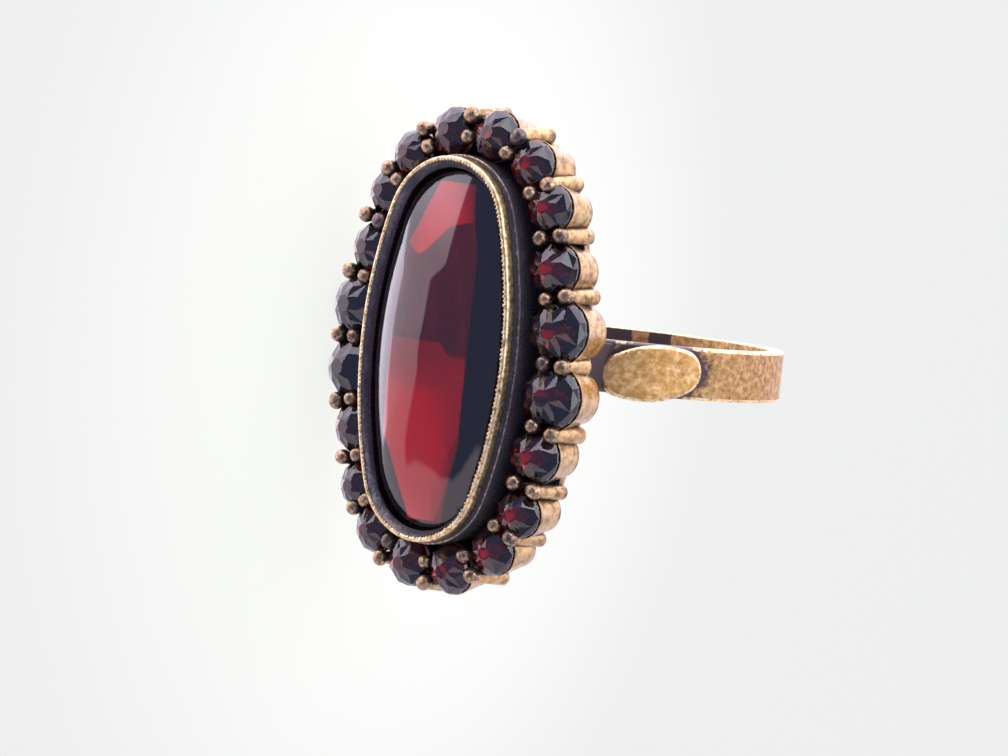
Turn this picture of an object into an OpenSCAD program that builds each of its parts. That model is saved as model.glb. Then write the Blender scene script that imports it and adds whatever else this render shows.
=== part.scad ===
// Garnet ring with a long oval cabochon in a raised collet and a halo of twenty round cut garnets.
// Everything is modelled as worn, with the finger's axis along Y, the face up and the finger's middle
// at the origin, and is laid on its side at the end. Lengths are millimetres and angles degrees.

/* [Band] */
// Radius of the finger's hole
finger_r = 9.0; // [8:0.1:10]
// Thickness of the band
band_t = 0.78; // [0.6:0.02:1]
// Width of the band along the finger
band_w = 2.7; // [2.2:0.1:3.2]
// Bevel on the band's outer edges
band_bevel = 0.16; // [0.05:0.01:0.25]

/* [Shoulder plates] */
// Direction of each plate's middle, from the middle of the face
plate_dir = 52.6; // [51:0.2:58]
// Length of each plate round the band
plate_l = 5.4; // [5:0.1:6.2]
// Width of each plate
plate_w = 2.9; // [2.4:0.05:3.2]
// Height of each plate above the band
plate_t = 0.5; // [0.3:0.05:0.7]
// Turn of each plate out of line with the band, as it was soldered
plate_skew = -8; // [-12:1:12]
// Shift of each plate along the finger, as it was soldered
plate_shift = -0.15; // [-0.3:0.05:0.3]

/* [Collet] */
// Half length of the collet's outside
collet_a = 9.88; // [9.7:0.02:10]
// Half width of the collet's outside
collet_b = 4.84; // [4.7:0.02:5]
// Radius of the collet's round ends
collet_end = 3.85; // [3.6:0.05:4]
// Height of the collet's rim above the finger's middle
rim_z = 14.35; // [14.3:0.05:14.6]
// Width of the rim's flat top
rim_w = 0.24; // [0.15:0.01:0.3]
// Height of the step low on the collet's outside
step_z = 13.5; // [13:0.05:13.6]
// Depth of that step
step_w = 0.12; // [0.05:0.01:0.15]

/* [Centre stone] */
// Gap that lets the stone stand clear of the metal
stone_gap = 0.05; // [0.03:0.01:0.08]
// Height of the stone's flat back
back_z = 12.7; // [12.5:0.05:12.8]
// Height at which the dome springs from the stone's side
dome_z = 13.6; // [13.5:0.05:13.65]
// Rise of the dome
dome_h = 2.0; // [1.4:0.05:2.1]
// Radius of the dome's cross-section, as a share of the stone's half width
dome_round = 1.31; // [1.15:0.01:1.6]

/* [Halo] */
// Half length of the oval through the outer claws' tips
halo_a = 12.0; // [11.9:0.02:12.2]
// Half width of that oval
halo_b = 7.52; // [7.4:0.02:7.7]
// Radius of its round ends
halo_end = 6.1; // [5.9:0.05:6.3]
// Height of the halo stones' girdles
girdle_z = 12.6; // [12.5:0.05:12.7]
// Outward lean of the halo stones
stone_lean = 8; // [6:1:12]
// Diameter of the claws' round tips
claw_tip_d = 0.92; // [0.86:0.02:0.96]
// Height of the claws' tips
claw_tip_z = 12.95; // [12.85:0.05:13.05]
// Diameter of the claws' shafts at the foot
claw_d = 0.82; // [0.7:0.02:0.86]
// Diameter of the claws' necks
claw_neck_d = 0.6; // [0.5:0.02:0.7]
// Diameter of the inner posts' round tips
post_tip_d = 0.88; // [0.8:0.02:0.9]
// Height of the posts' tips
post_tip_z = 13.1; // [13:0.05:13.2]
// Height of the gallery's flat back
gallery_z = 10.05; // [10:0.05:10.1]
// Thickness of the gallery's back plate
gallery_t = 0.45; // [0.3:0.05:0.6]
// Length of the oval through the claws' feet, as a share of the one through their tips
foot_long = 1.02; // [1:0.01:1.03]
// Width of the oval through the claws' feet, as a share of the one through their tips
foot_wide = 0.95; // [0.94:0.01:0.97]

/* [Hidden] */
// One quarter of the halo, from the long axis to the short one. Columns: direction of the claw at the
// start of the stone's place, direction of the inner post there, stone's diameter, and how far the
// stone's middle lies inside the oval through the claws
quarter = [
    [0.0, 0.0, 2.64, 0.70],
    [30.4, 30.4, 2.50, 0.52],
    [60.6, 60.0, 2.50, 0.47],
    [70.4, 71.4, 2.76, 0.86],
    [79.6, 80.4, 3.26, 0.74],
];
per_quarter = len(quarter);
stones = 4 * per_quarter;
fine = 96;

// Cut of a halo stone, as shares of its radius
table_r = 0.22;
table_h = 0.66;
main_r = 0.86;
main_h = 0.42;
girdle_t = 0.04;
pavilion_h = 0.8;

// Cups of the gallery, one behind each halo stone: wall outside the stone, foot and hole as shares of
// the stone's radius, and depths below the girdle of the foot and the top
cup_wall = 0.04;
cup_foot = 0.88;
hole_share = 0.62;
cup_depth = 3.05;
cup_drop = 0.18;

// How far soldered parts run into each other, and cuts run past a face
weld = 0.35;
past = 0.3;
far = 30;

band_r = finger_r + band_t;
plate_r = band_r + plate_t;
plate_round = 0.4;
plate_oval = [plate_l / 2, plate_w / 2, plate_w * plate_round];
collet_oval = [collet_a, collet_b, collet_end];
halo_oval = [halo_a, halo_b, halo_end];
post_inset = [1.08, 1.2, 1.05];
post_oval = halo_oval - post_inset;
base_oval = [halo_a * foot_long, halo_b * foot_wide, halo_end * foot_wide];
base_inset = 0.2;

// Inside of the collet, from the rim down: the lip over the stone, the stone's side, the ledge under it
lip_inset = 0.6;
lip_back = 0.55;
lip_drop = 0.42;
lip_t = 0.1;
lip_z = rim_z - lip_drop;
stone_inset = 0.5;
ledge_inset = 0.95;

// The two middle claws on each side stand above the seats that join the gallery to the band
claw_foot_z = gallery_z + 0.05;
middle_foot_z = claw_foot_z + 0.55;
seat_out = 6.35;
seat_in = 4.9;
seat_w = band_w - 0.3;

// Cabochon: bevel at its back, and rings of the dome, up to a small flat top
back_bevel = 0.12;
back_share = 0.975;
dome_steps = 9;
dome_last = 84;

// A four-arc oval is [half length, half width, radius of the ends]
function side_r(o) = (o[0] * o[0] + o[1] * o[1] - 2 * o[0] * o[2]) / (2 * (o[1] - o[2]));
function end_y(o) = o[0] - o[2];
function side_x(o) = side_r(o) - o[1];
// Direction, from the long axis, in which the end arc meets the side arc
function turn(o) = atan2(side_x(o), end_y(o));
// Point of the oval whose outward normal has direction a, from 0 to 90, moved out by d
function quarter_point(o, a, d) = a < turn(o)
    ? [(o[2] + d) * sin(a), end_y(o) + (o[2] + d) * cos(a)]
    : [(side_r(o) + d) * sin(a) - side_x(o), (side_r(o) + d) * cos(a)];
// The same for any direction, clockwise from the top
function fold(a) = a <= 90 ? a : a <= 180 ? 180 - a : a <= 270 ? a - 180 : 360 - a;
function oval_point(o, a, d) = let (p = quarter_point(o, fold(a), d))
    [a <= 180 ? p.x : -p.x, a <= 90 || a >= 270 ? p.y : -p.y];
// Direction k of a quarter with n steps along its round end and m along its side
function step_dir(o, k, n, m) = k < n ? turn(o) * k / n : turn(o) + (90 - turn(o)) * (k - n) / m;
// Closed outline, clockwise from the top
function oval_outline(o, d, n, m) = [for (q = [0 : 3], k = [0 : n + m - 1])
    oval_point(o, 90 * q + (q % 2 == 0 ? step_dir(o, k, n, m) : 90 - step_dir(o, n + m - k, n, m)), d)];

// Row of the quarter's table and direction for halo stone i, clockwise from the top
function stone_row(i) = let (k = i % (2 * per_quarter)) k < per_quarter ? k : 2 * per_quarter - 1 - k;
function mark(k, column) = k < per_quarter ? quarter[k][column] : 90;
function stone_mid(i) = (mark(stone_row(i), 0) + mark(stone_row(i) + 1, 0)) / 2;
function half_turns(i) = 180 * floor(i / (2 * per_quarter));
function stone_dir(i) = half_turns(i)
    + (i % (2 * per_quarter) < per_quarter ? stone_mid(i) : 180 - stone_mid(i));
function stone_r(i) = quarter[stone_row(i)][2] / 2;
function stone_in(i) = quarter[stone_row(i)][3];
// Direction of the claw (column 0) or the post (column 1) before stone i
function mark_dir(i, column) = let (k = i % (2 * per_quarter))
    half_turns(i) + (k <= per_quarter ? mark(k, column) : 180 - mark(2 * per_quarter - k, column));

// Puts children at halo stone i, with its table up and the outside of the ring along Y
module at_stone(i) {
    p = oval_point(halo_oval, stone_dir(i), -stone_in(i));
    translate([p.x, p.y, girdle_z]) rotate([0, 0, -stone_dir(i)]) rotate([-stone_lean, 0, 0]) children();
}

// Sweeps a profile of (distance outside the oval, height) round a four-arc oval
module oval_sweep(o) {
    t = turn(o);
    for (side = [0, 180]) rotate([0, 0, side]) {
        translate([0, end_y(o), 0]) rotate([0, 0, 90 - t])
            rotate_extrude(angle = 2 * t, $fn = fine) translate([o[2], 0]) children();
        translate([-side_x(o), 0, 0]) rotate([0, 0, t - 90])
            rotate_extrude(angle = 180 - 2 * t, $fn = 2 * fine) translate([side_r(o), 0]) children();
    }
}

module band_ring() {
    rotate([90, 0, 0]) rotate_extrude($fn = 2 * fine) polygon([
        [finger_r, -band_w / 2 + band_bevel / 2], [finger_r + band_bevel / 2, -band_w / 2],
        [band_r - band_bevel, -band_w / 2], [band_r, -band_w / 2 + band_bevel],
        [band_r, band_w / 2 - band_bevel], [band_r - band_bevel, band_w / 2],
        [finger_r + band_bevel / 2, band_w / 2], [finger_r, band_w / 2 - band_bevel / 2],
    ]);
}

// Oval plate that follows the band's curve on one shoulder
module shoulder_plate() {
    intersection() {
        translate([0, plate_shift, 0]) rotate([0, plate_dir, 0]) rotate([0, 0, 90 - plate_skew])
            translate([0, 0, finger_r + weld])
                linear_extrude(plate_r - finger_r) polygon(oval_outline(plate_oval, 0, 8, 4));
        rotate([90, 0, 0]) cylinder(h = 2 * plate_w, r = plate_r, center = true, $fn = 2 * fine);
    }
}

// Block that carries the gallery on the band
module gallery_seat() {
    difference() {
        translate([seat_in, -seat_w / 2, 0]) cube([seat_out - seat_in, seat_w, gallery_z + gallery_t / 2]);
        rotate([90, 0, 0]) cylinder(h = 2 * band_w, r = finger_r + weld, center = true, $fn = 2 * fine);
    }
}

module shank() {
    band_ring();
    for (side = [0, 1]) mirror([side, 0, 0]) {
        shoulder_plate();
        gallery_seat();
    }
}

// Tapering rod from point p to point q
module rod(p, q, d1, d2, sides) {
    v = q - p;
    translate(p) rotate([0, acos(v.z / norm(v)), atan2(v.y, v.x)])
        cylinder(h = norm(v), d1 = d1, d2 = d2, $fn = sides);
}

// Outside of the tapering cup behind stone i
module cup(i) {
    at_stone(i) translate([0, 0, -cup_depth]) cylinder(h = cup_depth - cup_drop,
        r1 = stone_r(i) * cup_foot, r2 = stone_r(i) + cup_wall, $fn = fine / 2);
}

// Outline of the space that the gallery leaves to the collet
module collet_space() {
    polygon(oval_outline(collet_oval, -weld, 10, 4));
}

module gallery() {
    difference() {
        for (i = [0 : stones - 1]) cup(i);
        translate([-far, -far, gallery_z - far]) cube([2 * far, 2 * far, far]);
        linear_extrude(rim_z) collet_space();
    }
    translate([0, 0, gallery_z]) linear_extrude(gallery_t) difference() {
        polygon(oval_outline(base_oval, -base_inset, 14, 5));
        collet_space();
    }
}

module claw(i) {
    a = mark_dir(i, 0);
    foot_z = fold(a) == 90 ? middle_foot_z : claw_foot_z;
    tip = oval_point(halo_oval, a, 0);
    foot = [tip.x * foot_wide, tip.y * foot_long];
    rod([foot.x, foot.y, foot_z], [tip.x, tip.y, claw_tip_z], claw_d, claw_neck_d, 32);
    translate([tip.x, tip.y, claw_tip_z]) sphere(d = claw_tip_d, $fn = 32);
}

module post(i) {
    p = oval_point(post_oval, mark_dir(i, 1), 0);
    translate([p.x, p.y, gallery_z + gallery_t / 2])
        cylinder(h = post_tip_z - gallery_z - gallery_t / 2, d = claw_neck_d, $fn = 32);
    translate([p.x, p.y, post_tip_z]) sphere(d = post_tip_d, $fn = 32);
}

module collet() {
    oval_sweep(collet_oval) polygon([
        [step_w, gallery_z], [step_w, step_z], [0, step_z], [0, rim_z], [-rim_w, rim_z],
        [-lip_inset, lip_z], [-lip_back, lip_z - lip_t], [stone_gap - stone_inset, dome_z + stone_gap],
        [stone_gap - stone_inset, back_z - stone_gap], [-ledge_inset, back_z - stone_gap],
        [-ledge_inset, gallery_z],
    ]);
}

// Space for stone i: its own shape with a gap round it, and the open hole behind it
module stone_space(i) {
    r = stone_r(i);
    at_stone(i) rotate_extrude($fn = fine / 2) polygon([
        [0, -cup_depth - past], [r * hole_share, -cup_depth - past],
        [r * hole_share, -(1 - hole_share) * pavilion_h * r - 2 * stone_gap],
        [r + stone_gap, -girdle_t - stone_gap], [r + stone_gap, girdle_t + stone_gap],
        [r * main_r + stone_gap, r * main_h + 1.5 * stone_gap],
        [r * table_r + stone_gap, r * table_h + 1.5 * stone_gap], [0, r * table_h + 1.5 * stone_gap],
    ]);
}

module ring_metal() {
    color("#a9833f") difference() {
        union() {
            shank();
            gallery();
            collet();
            for (i = [0 : stones - 1]) {
                claw(i);
                post(i);
            }
        }
        for (i = [0 : stones - 1]) stone_space(i);
    }
}

// Closes a stack of rings, each of n points, with a flat face at both ends
function stack_faces(rings, n) = concat(
    [[for (k = [n - 1 : -1 : 0]) k]],
    [for (j = [0 : rings - 2], k = [0 : n - 1])
        [j * n + k, j * n + (k + 1) % n, (j + 1) * n + (k + 1) % n, (j + 1) * n + k]],
    [[for (k = [0 : n - 1]) (rings - 1) * n + k]]
);

// Height of the round dome where the outline is shrunk to share s
function dome_rise(s) = let (edge = sqrt(dome_round * dome_round - 1))
    dome_z + dome_h * (sqrt(dome_round * dome_round - s * s) - edge) / (dome_round - edge);
dome_rings = [for (k = [0 : dome_steps]) let (s = cos(dome_last * k / dome_steps)) [s, dome_rise(s)]];

// Oval cabochon with a flat back
module centre_stone() {
    base = oval_outline(collet_oval, -stone_inset, 9, 5);
    rings = concat([[back_share, back_z], [1, back_z + back_bevel]], dome_rings);
    points = [for (ring = rings, p = base) [p.x * ring[0], p.y * ring[0], ring[1]]];
    color("#8e1f33") polyhedron(points, stack_faces(len(rings), len(base)));
}

// Round garnet: a small table, eight main facets, a ring of small facets at the girdle and a point behind
module halo_stone(i) {
    r = stone_r(i);
    eight = [for (k = [0 : 7]) 45 * k];
    sixteen = [for (k = [0 : 15]) 22.5 * k];
    points = concat(
        [for (a = eight) [table_r * r * sin(a), table_r * r * cos(a), table_h * r]],
        [for (a = eight) [main_r * r * sin(a), main_r * r * cos(a), main_h * r]],
        [for (z = [girdle_t, -girdle_t], a = sixteen) [r * sin(a), r * cos(a), z]],
        [[0, 0, -pavilion_h * r]]
    );
    up = 16;
    low = 32;
    tip = 48;
    faces = concat(
        [[for (k = [0 : 7]) k]],
        [for (k = [0 : 7]) [k, 8 + k, 8 + (k + 1) % 8, (k + 1) % 8]],
        [for (k = [0 : 7], f = [
            [8 + k, up + 2 * k, up + 2 * k + 1],
            [8 + k, up + 2 * k + 1, 8 + (k + 1) % 8],
            [8 + (k + 1) % 8, up + 2 * k + 1, up + (2 * k + 2) % 16]]) f],
        [for (k = [0 : 15]) [up + k, low + k, low + (k + 1) % 16, up + (k + 1) % 16]],
        [for (k = [0 : 15]) [low + k, tip, low + (k + 1) % 16]]
    );
    color("#4a1524") at_stone(i) polyhedron(points, faces);
}

// Rest on the side: a shoulder plate's end and the girdles of the two middle stones touch the floor.
// Both points are [distance to the side, height], as worn.
plate_reach = end_y(plate_oval) * cos(plate_skew) + plate_oval[2];
plate_turn = plate_dir + asin(plate_reach / plate_r);
plate_end = plate_r * [sin(plate_turn), cos(plate_turn)];
function girdle_edge(i, z) = let (p = oval_point(halo_oval, stone_dir(i), -stone_in(i)), r = stone_r(i))
    [p.x + (r * cos(stone_lean) + z * sin(stone_lean)) * sin(stone_dir(i)),
        girdle_z - r * sin(stone_lean) + z * cos(stone_lean)];
function down(p) = atan2(p.y - plate_end.y, plate_end.x - p.x);
rest_down = max([for (z = [-girdle_t, girdle_t]) down(girdle_edge(per_quarter - 1, z))]);
floor_r = plate_r * cos(rest_down - plate_turn);
// Reach of the face to the side: the rim's corner or the top of the dome
function reach(x, z) = x * cos(rest_down) + z * sin(rest_down);
face_reach = max(concat([reach(collet_b, rim_z)],
    [for (ring = dome_rings) reach((collet_b - stone_inset) * ring[0], ring[1])]));
module laid() {
    translate([(face_reach - band_r) / 2, 0, floor_r]) rotate([0, rest_down - 180, 0]) children();
}

laid() ring_metal();
laid() centre_stone();
for (i = [1 : stones]) laid() halo_stone(i - 1);
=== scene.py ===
import math
import random
import bpy
import bmesh
from mathutils import Matrix, Vector


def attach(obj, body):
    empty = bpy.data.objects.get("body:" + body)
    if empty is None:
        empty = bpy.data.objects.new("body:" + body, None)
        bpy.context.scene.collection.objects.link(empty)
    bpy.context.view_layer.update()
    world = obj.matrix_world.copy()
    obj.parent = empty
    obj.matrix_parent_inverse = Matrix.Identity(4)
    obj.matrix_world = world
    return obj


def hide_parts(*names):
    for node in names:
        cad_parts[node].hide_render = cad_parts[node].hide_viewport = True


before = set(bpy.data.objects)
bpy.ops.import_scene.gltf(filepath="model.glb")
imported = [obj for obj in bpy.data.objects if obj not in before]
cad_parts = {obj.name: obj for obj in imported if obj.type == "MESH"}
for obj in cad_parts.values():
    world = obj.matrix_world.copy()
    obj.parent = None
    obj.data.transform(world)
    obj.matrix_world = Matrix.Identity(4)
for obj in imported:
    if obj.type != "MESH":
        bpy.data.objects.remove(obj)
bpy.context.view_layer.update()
mm = 0.001

# The ring is thought of as worn: finger along Y, face to +Z, finger's middle at the origin, in millimetres.
# The part's source then lays it on its side, and so does this matrix.
rest = {"turn": -97.9939, "shift": (2.85683, 0.0, 9.96301)}
laid = Matrix.Translation(Vector(rest["shift"]) * mm) @ Matrix.Rotation(math.radians(rest["turn"]), 4, "Y")
wornToRow = laid @ Matrix.Scale(mm, 4)

# what the nodes that come up often are set to
plus, minus, times = {"operation": "ADD"}, {"operation": "SUBTRACT"}, {"operation": "MULTIPLY"}
timesPlus, smooth = {"operation": "MULTIPLY_ADD"}, {"interpolation_type": "SMOOTHSTEP"}
hueMix = {"data_type": "RGBA"}


def linear(code, alpha=1.0):
    # sRGB hex to linear colour
    parts = [int(code[k:k + 2], 16) / 255 for k in (1, 3, 5)]
    return tuple(c / 12.92 if c <= 0.04045 else ((c + 0.055) / 1.055) ** 2.4 for c in parts) + (alpha,)


def put(tree, kind, settings=None, inputs=()):
    # adds a node, sets its properties, then its inputs, named or in order: a value, or a node or socket to link
    node = tree.nodes.new(kind)
    for key, value in (settings or {}).items():
        setattr(node, key, value)
    for key, value in inputs.items() if isinstance(inputs, dict) else enumerate(inputs):
        if isinstance(value, bpy.types.Node):
            value = next(socket for socket in value.outputs if socket.enabled)
        if isinstance(value, bpy.types.NodeSocket):
            tree.links.new(value, node.inputs[key])
        else:
            node.inputs[key].default_value = value
    return node


def newMaterial(name):
    material = bpy.data.materials.new(name)
    material.use_nodes = True
    material.node_tree.nodes.clear()
    return material, material.node_tree


def stand(name, data):
    item = bpy.data.objects.new(name, data)
    bpy.context.scene.collection.objects.link(item)
    return item


# camera: direction in degrees as worn, the point it is aimed at, and where that point lies in the picture
camera = {"azimuth": 39.217, "height": 2.74, "roll": 5.98, "distance": 164.772, "pixelsPerMm": 19.3,
          "aim": (0.0, 0.0, 10.0), "centre": (484.692, 351.444), "frameSize": (1008, 756), "reach": (0.001, 50)}


def makeCamera(s):
    az, el, roll = (math.radians(s[k]) for k in ("azimuth", "height", "roll"))
    back = Vector((math.sin(az) * math.cos(el), math.sin(el), math.cos(az) * math.cos(el)))
    right = Vector((0, 1, 0)).cross(back).normalized()
    up = back.cross(right)
    rolledRight = math.cos(roll) * right + math.sin(roll) * up
    rolledUp = math.cos(roll) * up - math.sin(roll) * right
    place = Matrix((rolledRight, rolledUp, back)).transposed().to_4x4()
    place.translation = (Vector(s["aim"]) + s["distance"] * back) * mm
    data = bpy.data.cameras.new("photoCamera")
    width, height = s["frameSize"]
    data.sensor_width = 36
    data.lens = s["pixelsPerMm"] * s["distance"] * data.sensor_width / width
    data.shift_x = (width / 2 - s["centre"][0]) / width
    data.shift_y = (s["centre"][1] - height / 2) / width
    data.clip_start, data.clip_end = s["reach"]
    item = stand("photoCamera", data)
    item.matrix_world = laid @ place
    bpy.context.scene.camera = item


makeCamera(camera)
print("camera placed")

# studio: pale floor, bright soft surroundings, and a dim room in front of the ring; rows of four say that
# something goes from the third value to the fourth between two places of an as-worn direction
studio = {"sky": "#F7ECFF", "room": "#7C86B0", "roomStrength": 1.2,
          # strength of the surroundings, added up
          "high": (0.25, 0.5, 1.8, 2.8), "low": (-0.3, 0.1, -0.65, 0.0),
          "left": (-0.97, -0.982, 0.0, 1.7), "right": (0.75, 0.95, 0.0, -0.6),
          # edges of the room: the left one bends in above and out below
          "leftAbove": (0.18, 0.28, -0.58, -0.4), "leftBelow": (-0.1, -0.35, 0.0, -0.13),
          "bottomEdge": (-0.6, -0.2, -0.43, -0.54), "bottomRight": (0.1, 0.6, 0.0, 0.17), "topEdge": 0.75,
          "topRight": (0.0, 0.2, 0.0, 0.14), "backEdge": 0.17, "backRight": (0.6, 0.9, 0.0, -0.6), "soft": 0.02,
          # a dim place below on the right: past this far right, this far down and this far forward
          "lowCorner": (0.05, 0.7, 0.1),
          # painted light: the floor glows a little, more around the ring, and so fills in the ring's shadow on
          # it
          "floor": "#626464", "floorRough": 0.9, "glow": "#FDFFF9", "glowReach": (0.012, 0.04, 0.86, 0.715),
          "floorSize": 3.0,
          # soft lights: power, size, place
          "lights": ((0.9, 0.35, (-0.07, 0.13, 0.45)), (0.3, 0.18, (-0.22, 0.46, 0.34)))}


def wornParts(tree, vector, size=1.0):
    # the vector's parts along the as-worn X, Y and Z
    return [put(tree, "ShaderNodeVectorMath", {"operation": "DOT_PRODUCT"},
                (vector, laid.to_3x3() @ Vector(axis) / size))
            for axis in ((1, 0, 0), (0, 1, 0), (0, 0, 1))]


def past(tree, value, edge, soft):
    # 0 below the edge, 1 above it
    return put(tree, "ShaderNodeMapRange", smooth,
               (put(tree, "ShaderNodeMath", minus, (value, edge)), -soft, soft))


def makeWorld(s):
    world = bpy.data.worlds.new("softStudio")
    world.use_nodes = True
    tree = world.node_tree
    tree.nodes.clear()
    x, y, z = wornParts(tree, put(tree, "ShaderNodeTexCoord").outputs["Generated"])
    down = put(tree, "ShaderNodeMath", times, (y, -1.0))
    left = put(tree, "ShaderNodeMath", plus, (put(tree, "ShaderNodeMapRange", smooth, (y, *s["leftAbove"])),
                                              put(tree, "ShaderNodeMapRange", None, (y, *s["leftBelow"]))))
    bottom = put(tree, "ShaderNodeMath", plus, (put(tree, "ShaderNodeMapRange", None, (x, *s["bottomEdge"])),
                                                put(tree, "ShaderNodeMapRange", None, (x, *s["bottomRight"]))))
    back = put(tree, "ShaderNodeMath", plus,
               (put(tree, "ShaderNodeMapRange", smooth, (x, *s["backRight"])), s["backEdge"]))
    lowered = put(tree, "ShaderNodeMath", plus,
                  (down, put(tree, "ShaderNodeMapRange", smooth, (x, *s["topRight"]))))
    room = past(tree, x, left, s["soft"])
    for value, edge in ((y, bottom), (z, back), (lowered, -s["topEdge"])):
        room = put(tree, "ShaderNodeMath", times, (room, past(tree, value, edge, s["soft"])))
    corner = past(tree, x, s["lowCorner"][0], s["soft"])
    for value, edge in zip((down, z), s["lowCorner"][1:]):
        corner = put(tree, "ShaderNodeMath", times, (corner, past(tree, value, edge, s["soft"])))
    room = put(tree, "ShaderNodeMath", {"operation": "MAXIMUM"}, (room, corner))
    light = put(tree, "ShaderNodeMapRange", smooth, (y, *s["high"]))
    for value, part in ((y, "low"), (x, "left"), (x, "right")):
        change = put(tree, "ShaderNodeMapRange", smooth, (value, *s[part]))
        light = put(tree, "ShaderNodeMath", plus, (light, change))
    outside = put(tree, "ShaderNodeMath", times, (put(tree, "ShaderNodeMath", minus, (1.0, room)), light))
    inside = put(tree, "ShaderNodeMath", times, (room, s["roomStrength"]))
    colour = put(tree, "ShaderNodeMix", hueMix, {0: room, 6: linear(s["sky"]), 7: linear(s["room"])})
    sky = put(tree, "ShaderNodeBackground", None,
              {"Color": colour, "Strength": put(tree, "ShaderNodeMath", plus, (outside, inside))})
    put(tree, "ShaderNodeOutputWorld", None, {"Surface": sky})
    bpy.context.scene.world = world


def makeFloor(s):
    half = s["floorSize"] / 2
    mesh = bpy.data.meshes.new("paleFloor")
    corners = [(-half, -half, 0), (half, -half, 0), (half, half, 0), (-half, half, 0)]
    mesh.from_pydata(corners, [], [(0, 1, 2, 3)])
    floor = stand("paleFloor", mesh)
    # matt painted board: no gleam at all
    material, tree = newMaterial("mattPaleFloor")
    fromRing = put(tree, "ShaderNodeVectorMath", {"operation": "LENGTH"},
                   (put(tree, "ShaderNodeTexCoord").outputs["Object"],))
    # painted light: the floor glows more close to the ring
    glow = put(tree, "ShaderNodeMapRange", smooth, (fromRing, *s["glowReach"]))
    pale = put(tree, "ShaderNodeBsdfPrincipled", None,
               {"Base Color": linear(s["floor"]), "Roughness": s["floorRough"], "Specular IOR Level": 0.0,
                "Emission Color": linear(s["glow"]), "Emission Strength": glow})
    put(tree, "ShaderNodeOutputMaterial", None, {"Surface": pale})
    mesh.materials.append(material)
    # the polished pieces mirror the surroundings, not the floor close by
    floor.visible_glossy = False


def makeLights(s):
    for power, size, spot in s["lights"]:
        light = bpy.data.lights.new("softLight", "AREA")
        light.energy, light.size = power, size
        lamp = stand("softLight", light)
        lamp.location = spot
        lamp.rotation_mode = "QUATERNION"
        lamp.rotation_quaternion = (-lamp.location).to_track_quat("-Z", "Y")


makeWorld(studio)
makeFloor(studio)
makeLights(studio)
bpy.context.scene.view_settings.view_transform = "Standard"
bpy.context.scene.cycles.use_denoising = True
print("studio made")

# Gilt metal: worn gilding over a copper alloy, mottled, sooty in the recesses. patch, grain, bump, wave and
# recess are sizes in millimetres. Real gilding's grain is finer, and is drawn as coarse as it needs to show.

# the band, rubbed matt by wear: a soft broad gleam with brown freckles
mattGilt = {"patch": 0.34, "grain": 0.06, "bump": 0.02, "wave": 0.02, "rough": (0.42, 0.62), "pinkShare": 0.3,
            "brownAt": 0.36, "brightAt": 0.66, "recess": 0.45}
# gallery and claws, left as they were soldered: satin, a little dented, rosy where the copper shows
satinGilt = {"patch": 0.45, "grain": 0.09, "bump": 0.008, "wave": 0.13, "rough": (0.16, 0.32), "pinkShare": 0.5,
             "brownAt": 0.28, "brightAt": 0.58, "recess": 0.7}
# the collet's rim and beads and the band under the head, burnished: bright and even, soot only in the corners
burnishedGilt = {"patch": 0.22, "grain": 0.10, "bump": 0.006, "wave": 0.05, "rough": (0.3, 0.45),
                 "pinkShare": 0.3, "brownAt": 0.3, "brightAt": 0.56, "recess": 0.4}
# bead tips, rubbed round: a small gleam in the middle of each, smudged
wornBead = {"patch": 0.16, "grain": 0.06, "bump": 0.012, "wave": 0.08, "rough": (0.22, 0.42), "pinkShare": 0.7,
            "brownAt": 0.34, "brightAt": 0.66, "recess": 0.35}
# the collet's wall behind the stone, polished flat: it only throws light into the garnet
innerPolish = {"patch": 2.0, "grain": 0.4, "bump": 0.001, "wave": 0.001, "rough": (0.4, 0.5), "pinkShare": 0.0,
               "brownAt": 0.0, "brightAt": 0.5, "recess": 0.02}
# how all of it wears: each noise is (share of the patch or grain, detail, roughness); a place counts as shut in
# as its open share falls, and turns dusky and then black as dirt and painted shade rise
wear = {"mottling": (1.0, 5.0, 0.62), "thinning": (2.2, 3.0, 0.5), "graining": (1.0, 3.0, 0.5),
        "pinkFrom": (0.5, 0.7), "shut": (0.65, 0.15), "patchy": -0.7, "dirtAndShade": (-0.12, 0.5), "dusky": (0.0, 0.5),
        "black": (0.35, 1.0, 0.0, 0.97), "sootyMetal": (0.0, 1.0, 1.0, 0.6), "rubbed": (0.3, 0.7),
        "relief": 0.7, "rays": 6}


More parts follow.
